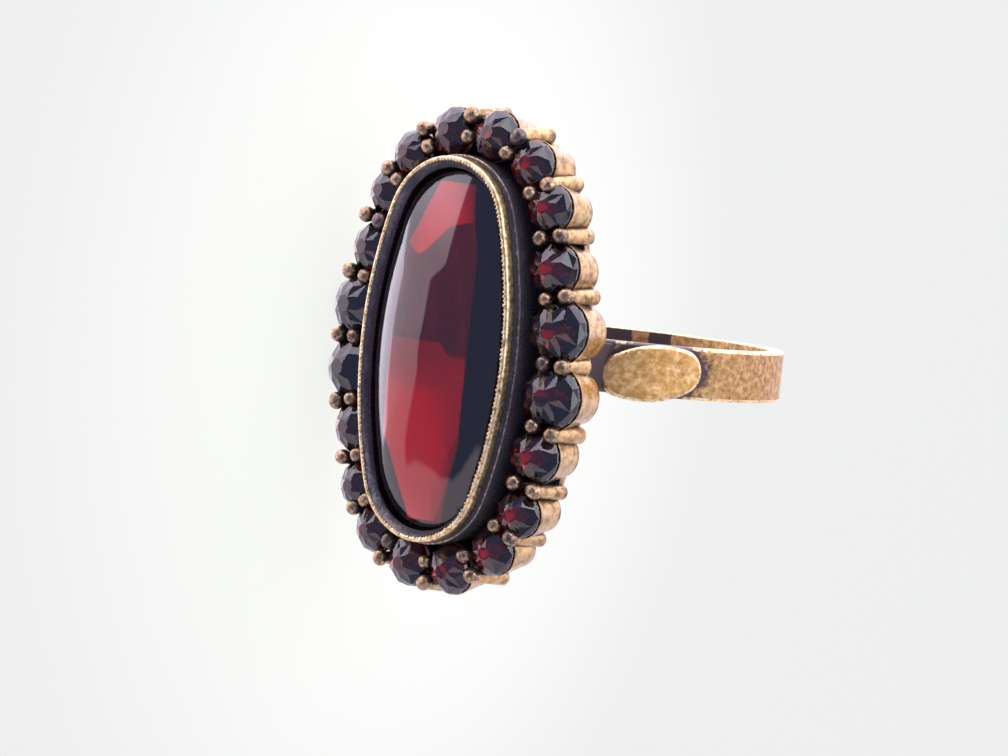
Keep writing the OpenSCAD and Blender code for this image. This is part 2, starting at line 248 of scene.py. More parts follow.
def giltMetal(name, s, hues):
    # the attributes tarnishAndShade and dull, from 0 to 1, say where the metal darkens: soot from making and
    # wear, and on the shank painted shade and painted dark reflections
    material, tree = newMaterial(name)
    coords = put(tree, "ShaderNodeTexCoord").outputs["Object"]
    patches, thin, grain = (
        put(tree, "ShaderNodeTexNoise", None, {"Vector": coords, "Scale": 1 / (wear[part][0] * s[across] * mm),
                                               "Detail": wear[part][1], "Roughness": wear[part][2]})
        for part, across in (("mottling", "patch"), ("thinning", "patch"), ("graining", "grain")))
    hue = put(tree, "ShaderNodeValToRGB", None, (patches,))
    ramp = hue.color_ramp
    ramp.elements[0].position, ramp.elements[0].color = s["brownAt"], linear(hues["brown"])
    ramp.elements[1].position, ramp.elements[1].color = s["brightAt"], linear(hues["bright"])
    ramp.elements.new((s["brownAt"] + s["brightAt"]) / 2).color = linear(hues["gold"])
    pinkish = put(tree, "ShaderNodeMapRange", None, (thin, *wear["pinkFrom"], 0.0, s["pinkShare"]))
    worn = put(tree, "ShaderNodeMix", hueMix, {0: pinkish, 6: hue, 7: linear(hues["pink"])})
    hollow = put(tree, "ShaderNodeAmbientOcclusion", {"samples": wear["rays"]}, {"Distance": s["recess"] * mm})
    shut = put(tree, "ShaderNodeMapRange", None, (hollow.outputs["AO"], *wear["shut"]))
    tarnishAndShade, dull = (put(tree, "ShaderNodeAttribute", {"attribute_name": part}).outputs["Fac"]
                     for part in ("tarnishAndShade", "dull"))
    worst = put(tree, "ShaderNodeMath", {"operation": "MAXIMUM"}, (shut, tarnishAndShade))
    soiledAndShaded = put(tree, "ShaderNodeMath", plus, (worst, dull))
    uneven = put(tree, "ShaderNodeMath", timesPlus, (patches, wear["patchy"], soiledAndShaded))
    dirtAndShade = put(tree, "ShaderNodeMapRange", smooth, (uneven, *wear["dirtAndShade"]))
    dusky = put(tree, "ShaderNodeMapRange", None, (dirtAndShade, *wear["dusky"]))
    black = put(tree, "ShaderNodeMapRange", None, (dirtAndShade, *wear["black"]))
    brownish = put(tree, "ShaderNodeMix", hueMix, {0: dusky, 6: worn, 7: linear(hues["plumAndShade"])})
    colour = put(tree, "ShaderNodeMix", hueMix, {0: black, 6: brownish, 7: linear(hues["sootAndShade"])})
    hammered = put(tree, "ShaderNodeBump", None,
                   {"Strength": wear["relief"], "Distance": s["wave"] * mm, "Height": thin})
    grainy = put(tree, "ShaderNodeBump", None,
                 {"Strength": wear["relief"], "Distance": s["bump"] * mm, "Height": grain, "Normal": hammered})
    rough = put(tree, "ShaderNodeMapRange", None, (grain, *wear["rubbed"], *s["rough"]))
    metal = put(tree, "ShaderNodeMapRange", None, (black, *wear["sootyMetal"]))
    shader = put(tree, "ShaderNodeBsdfPrincipled", None,
                 {"Base Color": colour, "Roughness": rough, "Metallic": metal, "Normal": grainy})
    put(tree, "ShaderNodeOutputMaterial", None, {"Surface": shader})
    return material


# Garnet, cut and polished: a mirror-like skin, and wine red only where light comes through from behind. The
# densities are per metre of stone: the halo's small stones need more than the long one to look as dark.
garnetLook = {"absorb": "#F24050", "density": 2300.0, "haloAbsorb": "#EC404C", "haloDensity": 7300.0,
              "ior": 1.76, "rough": 0.015}
# Painted shade behind the cabochon, in millimetres as worn: a dark sheet and a plum bar on the stone's back
# where shade shows through. They leave clear what lies between the left and right edges (each goes from the
# third value to the fourth between two distances from the middle) and between the ends, but for the plum bar
# across it. The bar's upper edge is straight (slope, height), with a lobe (place, bluntness, slope, height)
# dipping into it.
backShadeSheet = {"dark": "#141A2A", "plumAndShade": "#D87090", "red": "#FFB0C0", "streak": (0.6, 4.0),
              "reddish": (0.45, 0.65), "rough": 0.8, "height": 12.9, "soft": 0.06,
              "left": (4.4, 8.25, -2.42, -1.17), "right": (4.5, 8.25, 1.28, 0.85), "ends": (-8.5, 8.25),
              "barLow": (-0.1, 0.5, 0.35, -0.25), "barTop": (0.3, 6.05), "lobe": (-1.6, 0.25, 1.2, 4.2),
              # the stone's back is matt where the band passes behind it and ground elsewhere; the light through
              # it fades towards the lower end
              "matt": (1.0, 2.2, 0.95, 0.3), "fade": (-1.5, -8.0, 1.0, 0.5)}


def cutGarnet(name, absorb, density, s, backShade=None):
    material, tree = newMaterial(name)
    glass = put(tree, "ShaderNodeBsdfPrincipled", None,
                {"Base Color": linear("#FFFFFF"), "Roughness": s["rough"], "IOR": s["ior"],
                 "Transmission Weight": 1.0})
    inside = put(tree, "ShaderNodeVolumeAbsorption", None, {"Color": linear(s[absorb]), "Density": s[density]})
    skin = withBackShade(tree, glass, backShade) if backShade else glass
    put(tree, "ShaderNodeOutputMaterial", None, {"Surface": skin, "Volume": inside})
    return material


def withBackShade(tree, glass, s):
    # paints shade on the stone's back: a dark sheet round the clear window and a plum bar across it
    flat = put(tree, "ShaderNodeVectorMath", minus,
               (put(tree, "ShaderNodeTexCoord").outputs["Object"], laid.translation))
    across, along, height = wornParts(tree, flat, mm)
    fromMiddle = put(tree, "ShaderNodeMath", {"operation": "ABSOLUTE"}, (along,))
    left, right = (past(tree, across, put(tree, "ShaderNodeMapRange", None, (fromMiddle, *s[edge])), s["soft"])
                   for edge in ("left", "right"))
    window = put(tree, "ShaderNodeMath", minus, (left, right))
    downward = put(tree, "ShaderNodeMath", times, (along, -1.0))
    for value, edge in ((along, s["ends"][0]), (downward, -s["ends"][1])):
        window = put(tree, "ShaderNodeMath", times, (window, past(tree, value, edge, s["soft"])))
    place, blunt, slope, base = s["lobe"]
    fromLobe = put(tree, "ShaderNodeMath", minus, (across, place))
    rounded = put(tree, "ShaderNodeMath", timesPlus, (fromLobe, fromLobe, blunt * blunt))
    spread = put(tree, "ShaderNodeMath", {"operation": "SQRT"}, (rounded,))
    barTop = put(tree, "ShaderNodeMath", {"operation": "MINIMUM"},
                 (put(tree, "ShaderNodeMath", timesPlus, (spread, slope, base)),
                  put(tree, "ShaderNodeMath", timesPlus, (across, *s["barTop"]))))
    barLow = put(tree, "ShaderNodeMapRange", smooth, (across, *s["barLow"]))
    under = put(tree, "ShaderNodeMath", minus, (1.0, past(tree, along, barTop, s["soft"])))
    bar = put(tree, "ShaderNodeMath", times, (past(tree, along, barLow, s["soft"]), under))
    clear = put(tree, "ShaderNodeMath", times, (window, put(tree, "ShaderNodeMath", minus, (1.0, bar))))
    fade = put(tree, "ShaderNodeMapRange", smooth, (along, *s["fade"]))
    clear = put(tree, "ShaderNodeMath", times, (clear, fade))
    behind = put(tree, "ShaderNodeMath", {"operation": "LESS_THAN"}, (height, s["height"]))
    hidden = put(tree, "ShaderNodeMath", times, (put(tree, "ShaderNodeMath", minus, (1.0, clear)), behind))
    polish = glass.inputs["Roughness"].default_value
    start, end, matt, ground = s["matt"]
    rougher = put(tree, "ShaderNodeMapRange", smooth, (fromMiddle, start, end, matt - polish, ground - polish))
    skinRough = put(tree, "ShaderNodeMath", timesPlus, (behind, rougher, polish))
    tree.links.new(skinRough.outputs[0], glass.inputs["Roughness"])
    streaked = put(tree, "ShaderNodeCombineXYZ", None,
                   [put(tree, "ShaderNodeMath", {"operation": "DIVIDE"}, pair)
                    for pair in zip((across, along), s["streak"])])
    streaks = put(tree, "ShaderNodeTexNoise", None, {"Vector": streaked, "Scale": 1.0, "Detail": 2.0})
    reddish = put(tree, "ShaderNodeMapRange", smooth, (streaks, *s["reddish"]))
    barShade = put(tree, "ShaderNodeMix", hueMix, {0: reddish, 6: linear(s["plumAndShade"]), 7: linear(s["red"])})
    backing = put(tree, "ShaderNodeBsdfPrincipled", None,
                  {"Base Color": put(tree, "ShaderNodeMix", hueMix, {0: window, 6: linear(s["dark"]), 7: barShade}),
                   "Roughness": s["rough"]})
    return put(tree, "ShaderNodeMixShader", None, (hidden, glass, backing))


# hues of each finish, from worn to deep in the recesses and in painted shade
giltHues = {"bright": "#CCAE7C", "gold": "#A88A54", "brown": "#644E34", "pink": "#B4967A", "sootAndShade": "#6C676C",
            "plumAndShade": "#645450"}
bandHues = dict(giltHues, bright="#D2B486", gold="#B8925E", brown="#927048", sootAndShade="#443A3E", plumAndShade="#5E484A")
# painted light: the plates' tops get a brighter copy of the band's hues, as they face the light
plateLitHues = dict(bandHues, bright="#F2D094", gold="#D6A866", brown="#B88C54")
rimHues = dict(giltHues, bright="#FFEABA", gold="#DEBC82", brown="#705638")
beadHues = dict(giltHues, bright="#D0B994", gold="#A88A68", brown="#77685A")
shankGilt = giltMetal("mattWornGilt", mattGilt, bandHues)
plateLitGilt = giltMetal("mattPlateGiltLit", mattGilt, plateLitHues)
galleryGilt = giltMetal("satinRoseGilt", satinGilt, giltHues)
brightGilt = giltMetal("burnishedGilt", burnishedGilt, rimHues)
beadGilt = giltMetal("wornBeadGilt", wornBead, beadHues)
innerGilt = giltMetal("polishedInnerGilt", innerPolish, rimHues)
cabochonGarnet = cutGarnet("cabochonGarnet", "absorb", "density", garnetLook, backShadeSheet)
haloGarnet = cutGarnet("haloGarnet", "haloAbsorb", "haloDensity", garnetLook)
print("materials made")


# ovals of four arcs: (half length, half width, radius of the ends)
def sideRadius(oval):
    length, width, end = oval
    return (length ** 2 + width ** 2 - 2 * length * end) / (2 * (width - end))


def endTurn(oval):
    return math.atan2(sideRadius(oval) - oval[1], oval[0] - oval[2])


def ovalPoint(oval, degrees, out=0.0):
    # point whose outward normal has that direction, clockwise from the long axis
    x, y = math.sin(math.radians(degrees)), math.cos(math.radians(degrees))
    big = sideRadius(oval)
    if math.atan2(abs(x), abs(y)) < endTurn(oval):
        across, along = (oval[2] + out) * abs(x), oval[0] - oval[2] + (oval[2] + out) * abs(y)
    else:
        across, along = (big + out) * abs(x) - big + oval[1], (big + out) * abs(y)
    return Vector((math.copysign(across, x), math.copysign(along, y), 0))


def ovalTurns(oval, count):
    # directions at even steps round the oval
    big, turn = sideRadius(oval), endTurn(oval)
    endLength = oval[2] * turn
    quarter = endLength + big * (math.pi / 2 - turn)
    turns = []
    for k in range(count):
        part, s = divmod(4 * quarter * k / count, quarter)
        s = quarter - s if part % 2 else s
        a = s / oval[2] if s < endLength else turn + (s - endLength) / big
        turns.append(math.degrees((0, math.pi, math.pi, 2 * math.pi)[int(part)] + (-a if part % 2 else a)))
    return turns


def bevelSteps(radius, first=0):
    # quarter round in four steps, from the wall to the top: (in from the wall, down from the top)
    return [(radius * (1 - math.cos(a)), radius * (1 - math.sin(a)))
            for a in (math.pi / 2 * k / 4 for k in range(first, 5))]


def gridMesh(name, rows, tarnishAndShade, slots=None, closed=(True, True)):
    # rows of points joined by quads; the tarnish-and-shade values and slots go by the place in a row
    mesh = bpy.data.meshes.new(name)
    n, m = len(rows), len(rows[0])
    faces, places = [], []
    for j in range(n if closed[0] else n - 1):
        for k in range(m if closed[1] else m - 1):
            a, b = (j + 1) % n, (k + 1) % m
            faces.append((j * m + k, j * m + b, a * m + b, a * m + k))
            places.append(k)
    mesh.from_pydata([p for row in rows for p in row], [], faces)
    shade = mesh.attributes.new("tarnishAndShade", "FLOAT", "POINT")
    shade.data.foreach_set("value", [tarnishAndShade[k] for row in rows for k in range(m)])
    if slots:
        mesh.polygons.foreach_set("material_index", [slots[k] for k in places])
    return mesh


def worked(mesh, *steps):
    # runs bmesh steps on a mesh
    work = bmesh.new()
    work.from_mesh(mesh)
    for step in steps:
        step(work)
    work.to_mesh(mesh)
    work.free()
    return mesh


def outward(work):
    bmesh.ops.recalc_face_normals(work, faces=work.faces)


def tidyMesh(mesh, angle=35.0):
    # merges doubles, turns faces outward, and shades smooth but for edges sharper than the angle
    def merge(work):
        bmesh.ops.remove_doubles(work, verts=work.verts, dist=1e-5)

    def shade(work):
        for face in work.faces:
            face.smooth = True
        for edge in work.edges:
            edge.smooth = not (edge.is_manifold and edge.calc_face_angle(0) > math.radians(angle))
    return worked(mesh, merge, outward, shade)


def joined(name, meshes):
    work = bmesh.new()
    for mesh in meshes:
        work.from_mesh(mesh)
    result = bpy.data.meshes.new(name)
    work.to_mesh(result)
    work.free()
    return result


def lathe(name, profile, steps, angle=40.0):
    # profile of (radius, height, darkening) turned round Z
    rows = [[Vector((r * math.cos(2 * math.pi * k / steps), r * math.sin(2 * math.pi * k / steps), z))
             for r, z, t in profile] for k in range(steps)]
    ends = max(profile[0][0], profile[-1][0]) < 1e-6
    return tidyMesh(gridMesh(name, rows, [p[2] for p in profile], closed=(True, not ends)), angle)


def placePiece(mesh, name, materials, nodes):
    # lays an as-worn mesh down and gives it to the frame
    mesh.transform(wornToRow)
    mesh.update()
    # taking the materials off would set each face back to the first of them
    parts = [face.material_index for face in mesh.polygons]
    mesh.materials.clear()
    for material in materials:
        mesh.materials.append(material)
    mesh.polygons.foreach_set("material_index", parts)
    piece = stand(name, mesh)
    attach(piece, "root")
    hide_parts(*nodes)
    return piece


collet = {"oval": (9.88, 4.84, 3.85), "steps": 480, "sharp": 50,
          # wall round the cabochon: outside the oval, height, darkening, finish of the face that follows
          # (0 satin, 1 burnished, 2 polished), up the outside, over the rim and down the inside
          "profile": [(0.12, 10.05, 0.9, 0), (0.12, 12.2, 0.95, 0), (0.12, 13.44, 0.9, 1),
                      (0.09, 13.49, 0.45, 1), (0.02, 13.51, 0.6, 0), (0.0, 13.6, 0.95, 0), (0.0, 13.84, 0.7, 1),
                      (0.0, 13.92, 0.05, 1), (0.0, 14.14, 0.0, 1), (-0.02, 14.25, 0.0, 1),
                      (-0.06, 14.33, 0.0, 1), (-0.12, 14.35, 0.0, 1), (-0.19, 14.345, 0.0, 1),
                      (-0.25, 14.31, 0.35, 0), (-0.29, 14.24, 1.0, 0), (-0.59, 13.94, 1.0, 0),
                      (-0.6, 13.90, 1.0, 0), (-0.55, 13.83, 1.0, 0), (-0.45, 13.65, 1.0, 0),
                      (-0.45, 12.65, 1.0, 0), (-0.9, 12.65, 0.5, 0), (-0.95, 12.6, 0.0, 2),
                      (-0.95, 10.05, 0.0, 0)]}


def makeCollet(s):
    rows = [[ovalPoint(s["oval"], turn, out) + Vector((0, 0, z)) for out, z, *rest in s["profile"]]
            for turn in ovalTurns(s["oval"], s["steps"])]
    mesh = gridMesh("collet", rows, [p[2] for p in s["profile"]], [p[3] for p in s["profile"]])
    return placePiece(tidyMesh(mesh, s["sharp"]), "collet", [galleryGilt, brightGilt, innerGilt],
                      ["ring_metal"])


makeCollet(collet)
print("collet made")

# cabochon: flat back, straight girdle and a dome; round is the dome's flatness, backShare the flat back's part
cabochon = {"oval": (9.38, 4.34, 3.35), "back": 12.7, "spring": 13.6, "rise": 2.0, "round": 1.31, "rings": 44,
            "steps": 220, "backBevel": 0.12, "backShare": 0.975, "sharp": 40}


def makeCabochon(s):
    outline = [ovalPoint(s["oval"], turn) for turn in ovalTurns(s["oval"], s["steps"])]
    edge = math.sqrt(s["round"] ** 2 - 1)
    rings = [(0.0, s["back"]), (0.5, s["back"]), (s["backShare"], s["back"]), (1.0, s["back"] + s["backBevel"])]
    for k in range(s["rings"] + 1):
        share = math.cos(math.pi / 2 * k / s["rings"])
        bulge = s["rise"] * (math.sqrt(s["round"] ** 2 - share ** 2) - edge) / (s["round"] - edge)
        rings.append((share, s["spring"] + bulge))
    rows = [[p * share + Vector((0, 0, z)) for share, z in rings] for p in outline]
    mesh = gridMesh("cabochon", rows, [0.0] * len(rings), closed=(True, False))
    return placePiece(tidyMesh(mesh, s["sharp"]), "cabochon", [cabochonGarnet], ["centre_stone"])


makeCabochon(cabochon)
print("cabochon made")

# places of the halo's stones, claws and posts, as in the part's source
halo = {"oval": (12.0, 7.52, 6.1), "postInset": (1.08, 1.2, 1.05), "girdle": 12.6, "lean": 8.0, "stones": 20,
        # direction of the claw, direction of the post, stone's diameter, how far the stone lies inside the oval
        "quarter": [(0.0, 0.0, 2.64, 0.70), (30.4, 30.4, 2.50, 0.52), (60.6, 60.0, 2.50, 0.47),
                    (70.4, 71.4, 2.76, 0.86), (79.6, 80.4, 3.26, 0.74), (90.0, 90.0, 0.0, 0.0)]}


def markTurn(i, column):
    k, half = i % 10, 180 * (i // 10)
    return half + (halo["quarter"][k][column] if k <= 5 else 180 - halo["quarter"][10 - k][column])


def stonePlace(i):
    k = i % 10
    row = halo["quarter"][k if k < 5 else 9 - k]
    middle = (markTurn(i, 0) + markTurn(i + 1, 0)) / 2
    place = ovalPoint(halo["oval"], middle, -row[3])
    place.z = halo["girdle"]
    turn = Matrix.Rotation(math.radians(-middle), 4, "Z") @ Matrix.Rotation(math.radians(-halo["lean"]), 4, "X")
    return Matrix.Translation(place) @ turn, row[2] / 2


def pointMesh(name, places):
    # one point for each (matrix, size vector)
    mesh = bpy.data.meshes.new(name)
    mesh.from_pydata([matrix.translation for matrix, sizes in places], [], [])
    aims = [part for matrix, sizes in places for part in matrix.to_euler()]
    for part, values in (("aim", aims), ("size", [part for matrix, sizes in places for part in sizes])):
        mesh.attributes.new(part, "FLOAT_VECTOR", "POINT").data.foreach_set("vector", values)
    return mesh


def scatterTree(name):
    # one copy of Model on each point, turned by aim, sized by size and Scale, spun and varied at random
    tree = bpy.data.node_groups.new(name, "GeometryNodeTree")
    for socket, kind in (("Points", "Geometry"), ("Model", "Object"), ("Scale", "Float"),
                         ("Variation", "Float"), ("Spin", "Float"), ("Dull", "Float"), ("Seed", "Int"),
                         ("Finish", "Material")):
        tree.interface.new_socket(socket, in_out="INPUT", socket_type="NodeSocket" + kind)
    tree.interface.new_socket("Copies", in_out="OUTPUT", socket_type="NodeSocketGeometry")
    given = put(tree, "NodeGroupInput").outputs
    aim, size = (put(tree, "GeometryNodeInputNamedAttribute", {"data_type": "FLOAT_VECTOR"}, {"Name": part})
                 for part in ("aim", "size"))
    # between what and what a copy is spun, sized and dulled at random
    ranges = ((put(tree, "ShaderNodeMath", times, (given["Spin"], -1.0)), given["Spin"]),
              (put(tree, "ShaderNodeMath", minus, (1.0, given["Variation"])), 1.0), (0.0, given["Dull"]))
    spin, varied, dull = (put(tree, "FunctionNodeRandomValue", None, {2: least, 3: most, "Seed": given["Seed"]})
                          for least, most in ranges)
    turned, own = (put(tree, "FunctionNodeEulerToRotation", None, (angles,))
                   for angles in (aim, put(tree, "ShaderNodeCombineXYZ", None, {2: spin})))
    spun = put(tree, "FunctionNodeRotateRotation", {"rotation_space": "LOCAL"}, (turned, own))
    scale = put(tree, "ShaderNodeVectorMath", {"operation": "SCALE"},
                {0: size, "Scale": put(tree, "ShaderNodeMath", times, (varied, given["Scale"]))})
    model = put(tree, "GeometryNodeObjectInfo", None, {"Object": given["Model"]})
    copies = put(tree, "GeometryNodeInstanceOnPoints", None,
                 {"Points": given["Points"], "Instance": model.outputs["Geometry"], "Rotation": spun,
                  "Scale": scale})
    marked = put(tree, "GeometryNodeStoreNamedAttribute", {"data_type": "FLOAT", "domain": "INSTANCE"},
                 {"Geometry": copies, "Name": "dull", "Value": dull})
    real = put(tree, "GeometryNodeRealizeInstances", None, {"Geometry": marked})
    dressed = put(tree, "GeometryNodeSetMaterial", None, {"Geometry": real, "Material": given["Finish"]})
    put(tree, "NodeGroupOutput", None, (dressed,))
    return tree


scatter = scatterTree("copiesOnPoints")


def scattered(name, places, model, material, variation=0.0, spin=0.0, seed=1, dull=0.0):
    # the tree's result as a plain mesh, still as worn
    holder = stand(name + "Points", pointMesh(name + "Points", places))
    master = stand(name + "Model", model)
    modifier = holder.modifiers.new("copies", "NODES")
    modifier.node_group = scatter
    values = {"Model": master, "Scale": 1.0, "Variation": variation, "Spin": spin, "Seed": seed, "Dull": dull,
              "Finish": material}
    for item in scatter.interface.items_tree:
        if item.in_out == "INPUT" and item.name in values:
            modifier[item.identifier] = values[item.name]
    bpy.context.view_layer.update()
    graph = bpy.context.evaluated_depsgraph_get()
    mesh = bpy.data.meshes.new_from_object(holder.evaluated_get(graph))
    for item in (holder, master):
        bpy.data.objects.remove(item)
    return mesh


# gallery: a cup behind each stone, open at the back, and the pierced plate under them
gallery = {"cupSteps": 64, "hole": 0.62, "holeSteps": 40, "back": 10.05, "plate": 0.45, "edge": 0.06,
           "edgeSteps": 2, "plateOval": (12.04, 6.944, 5.595), "plateSteps": 240, "colletSpace": 0.35,
           "colletSteps": 160,
           # radius as a share of the stone's, height from its girdle, darkening
           "cup": [(0.88, -2.35, 0.5), (0.92, -1.8, 0.1), (0.965, -1.1, 0.0), (1.0, -0.55, 0.0),
                   (1.022, -0.3, 0.0), (1.032, -0.22, 0.0), (1.03, -0.18, 0.0), (1.012, -0.165, 0.1),
                   (0.985, -0.18, 0.9), (0.8, -0.36, 1.0), (0.64, -0.5, 1.0), (0.64, -2.35, 0.4)]}


def makeGallery(s):
    places = [stonePlace(i) for i in range(halo["stones"])]
    cups = scattered("cups", [(matrix, (radius, radius, 1.0)) for matrix, radius in places],
                     lathe("cup", s["cup"], s["cupSteps"]), galleryGilt)
    placePiece(cups, "galleryCups", [galleryGilt], ["ring_metal"])

    curve = bpy.data.curves.new("backPlate", "CURVE")
    curve.dimensions, curve.fill_mode = "2D", "BOTH"
    curve.extrude = s["plate"] / 2 - s["edge"]
    curve.bevel_depth, curve.bevel_resolution = s["edge"], s["edgeSteps"]
    middle = s["back"] + s["plate"] / 2
    down = (middle - halo["girdle"]) / math.cos(math.radians(halo["lean"]))
    loops = [[ovalPoint(oval, turn, out) for turn in ovalTurns(oval, steps)]
             for oval, out, steps in ((s["plateOval"], 0.0, s["plateSteps"]),
                                      (collet["oval"], -s["colletSpace"], s["colletSteps"]))]
    for matrix, radius in places:
        centre = matrix @ Vector((0, 0, down))
        size = radius * s["hole"]
        loops.append([centre + size * Vector((math.cos(a), math.sin(a), 0)) for a in
                      (2 * math.pi * k / s["holeSteps"] for k in range(s["holeSteps"]))])
    for loop in loops:
        spline = curve.splines.new("POLY")
        spline.points.add(len(loop) - 1)
        for point, place in zip(spline.points, loop):
            point.co = (place.x, place.y, 0, 1)
        spline.use_cyclic_u = True
    item = stand("backPlateCurve", curve)
    mesh = bpy.data.meshes.new_from_object(item.evaluated_get(bpy.context.evaluated_depsgraph_get()))
    bpy.data.objects.remove(item)
    mesh.transform(Matrix.Translation((0, 0, middle)))
    placePiece(tidyMesh(mesh), "backPlate", [galleryGilt], ["ring_metal"])


makeGallery(gallery)
print("gallery made")

# claws outside the stones and posts inside them, both with round tips; middleFoot is where the claw at the
# middle of each side stands, on the seats
claws = {"tip": 0.92, "tipHeight": 12.95, "foot": 0.84, "neck": 0.66, "footHeight": 10.1, "middleFoot": 10.65,
         "footWide": 0.95, "footLong": 1.02, "postTip": 0.86, "postTipHeight": 13.1, "postFoot": 10.3,
         "postNeck": 0.56, "tipDull": 0.55, "shaftDull": 0.3, "shaftSteps": 28, "postSteps": 20,
         # share of the foot's radius, share of the neck's, height, tarnish
         "shaft": [(0.0, 0.0, 0.0, 0.5), (0.8, 0.0, 0.0, 0.5), (1.0, 0.0, 0.05, 0.2), (0.97, 0.0, 0.35, 0.0),
                   (0.0, 1.12, 0.8, 0.0), (0.0, 1.0, 0.9, 0.1), (0.0, 1.0, 0.99, 0.1), (0.0, 0.0, 1.0, 0.1)],
         "post": [(0.0, 0.0, 0.0, 1.0), (0.0, 1.0, 0.0, 1.0), (0.0, 1.0, 0.7, 0.9), (0.0, 1.0, 0.86, 0.5),
                  (0.0, 1.0, 0.99, 0.2), (0.0, 0.0, 1.0, 0.1)],
         # a tip is a ball, pressed flatter from this height, with soot up to this angle from below
         "flatFrom": 0.38, "flatter": 0.6, "sootTo": 50, "tipSoot": 0.45, "tipAngle": 12,
         # how uneven the hand-made claws and beads are: place in mm, share of size, lean in degrees
         "moved": 0.05, "uneven": 0.09, "sizeRange": (-1.2, 0.8), "lean": 14.0, "seed": 5,
         "spin": 3.1, "variation": 0.08, "seeds": (3, 4, 5)}


def rodPlace(foot, tip):
    # matrix with Z from foot to tip, and the length between them
    way = tip - foot
    return Matrix.Translation(foot) @ way.to_track_quat("Z", "Y").to_matrix().to_4x4(), way.length


def makeClaws(s):
    hand = random.Random(s["seed"])

    def handSizes(size):
        return tuple(size * (1 + s["uneven"] * hand.uniform(*s["sizeRange"])) for axis in range(3))

    def handPlace(spot):
        moved = spot + s["moved"] * Vector([hand.uniform(-1, 1) for axis in range(3)])
        leans = [Matrix.Rotation(math.radians(hand.uniform(-1, 1) * s["lean"]), 4, axis) for axis in "XY"]
        return Matrix.Translation(moved) @ leans[0] @ leans[1]

    shaftRows, tipRows, postRows, postTipRows = [], [], [], []
    postOval = tuple(a - b for a, b in zip(halo["oval"], halo["postInset"]))
    for i in range(halo["stones"]):
        tip = ovalPoint(halo["oval"], markTurn(i, 0))
        atMiddle = round(markTurn(i, 0)) % 180 == 90
        footHeight = s["middleFoot" if atMiddle else "footHeight"]
        foot = Vector((tip.x * s["footWide"], tip.y * s["footLong"], footHeight))
        tip.z = s["tipHeight"]
        place, length = rodPlace(foot, tip)
        shaftRows.append((place, handSizes(1.0)[:2] + (length,)))
        tipRows.append((handPlace(tip) @ place.to_3x3().to_4x4(), handSizes(s["tip"])))
        post = ovalPoint(postOval, markTurn(i, 1))
        foot = Vector((post.x, post.y, s["postFoot"]))
        post.z = s["postTipHeight"]
        place, length = rodPlace(foot, post)
        postRows.append((place, (s["postNeck"] / s["neck"],) * 2 + (length,)))
        postTipRows.append((handPlace(post), handSizes(s["postTip"])))
    foot, neck = s["foot"] / 2, s["neck"] / 2
    shaft, post = (lathe(part, [(foot * wide + neck * narrow, z, t) for wide, narrow, z, t in s[part]],
                         s[part + "Steps"]) for part in ("shaft", "post"))
    ball, top = [], s["flatFrom"]
    for degrees in range(0, 181, s["tipAngle"]):
        a = math.radians(degrees)
        z = -0.5 * math.cos(a)
        ball.append((0.5 * math.sin(a), z if z < top else top + s["flatter"] * (z - top),
                     s["tipSoot"] if degrees < s["sootTo"] else 0.0))
    tip = lathe("tip", ball, s["shaftSteps"])
    shafts = scattered("shafts", shaftRows, shaft, galleryGilt, 0.0, s["spin"], s["seeds"][0], s["shaftDull"])
    posts = scattered("posts", postRows, post, galleryGilt, 0.0, s["spin"], s["seeds"][1])
    tips = scattered("tips", tipRows + postTipRows, tip, beadGilt, s["variation"], s["spin"], s["seeds"][2],
                     s["tipDull"])
    placePiece(shafts, "clawShafts", [galleryGilt], ["ring_metal"])
    placePiece(posts, "innerPosts", [galleryGilt], ["ring_metal"])
    placePiece(tips, "clawTips", [beadGilt], ["ring_metal"])


makeClaws(claws)
print("claws made")

# worn beads along the inner edge of the collet's rim
rimBeads = {"inset": 0.22, "height": 14.29, "count": 216, "size": 0.21, "steps": 8, "variation": 0.45,
            "spin": 3.1, "seed": 11,
            # radius, height, tarnish of a bead of unit size
            "profile": [(0.0, -0.5, 0.9), (0.4, -0.25, 0.8), (0.5, 0.05, 0.4), (0.36, 0.36, 0.0),
                        (0.0, 0.5, 0.0)]}


def makeRimBeads(s):
    places = []
    for turn in ovalTurns(collet["oval"], s["count"]):
        place = ovalPoint(collet["oval"], turn, -s["inset"])
        place.z = s["height"]
        places.append((Matrix.Translation(place), (s["size"],) * 3))
    bead = lathe("rimBead", s["profile"], s["steps"])
    beads = scattered("rimBeads", places, bead, brightGilt, s["variation"], s["spin"], s["seed"])
    placePiece(beads, "rimBeads", [brightGilt], ["ring_metal"])


makeRimBeads(rimBeads)
print("rim beads made")

# halo stones: round brilliants of unit radius, each row (radius, height)
haloCut = {"table": (0.28, 0.66), "star": (0.58, 0.52), "main": (0.92, 0.24), "girdle": 0.04, "depth": 0.8,
           "lower": (0.55, -0.40), "culet": 0.03, "spin": 0.6, "seed": 21}


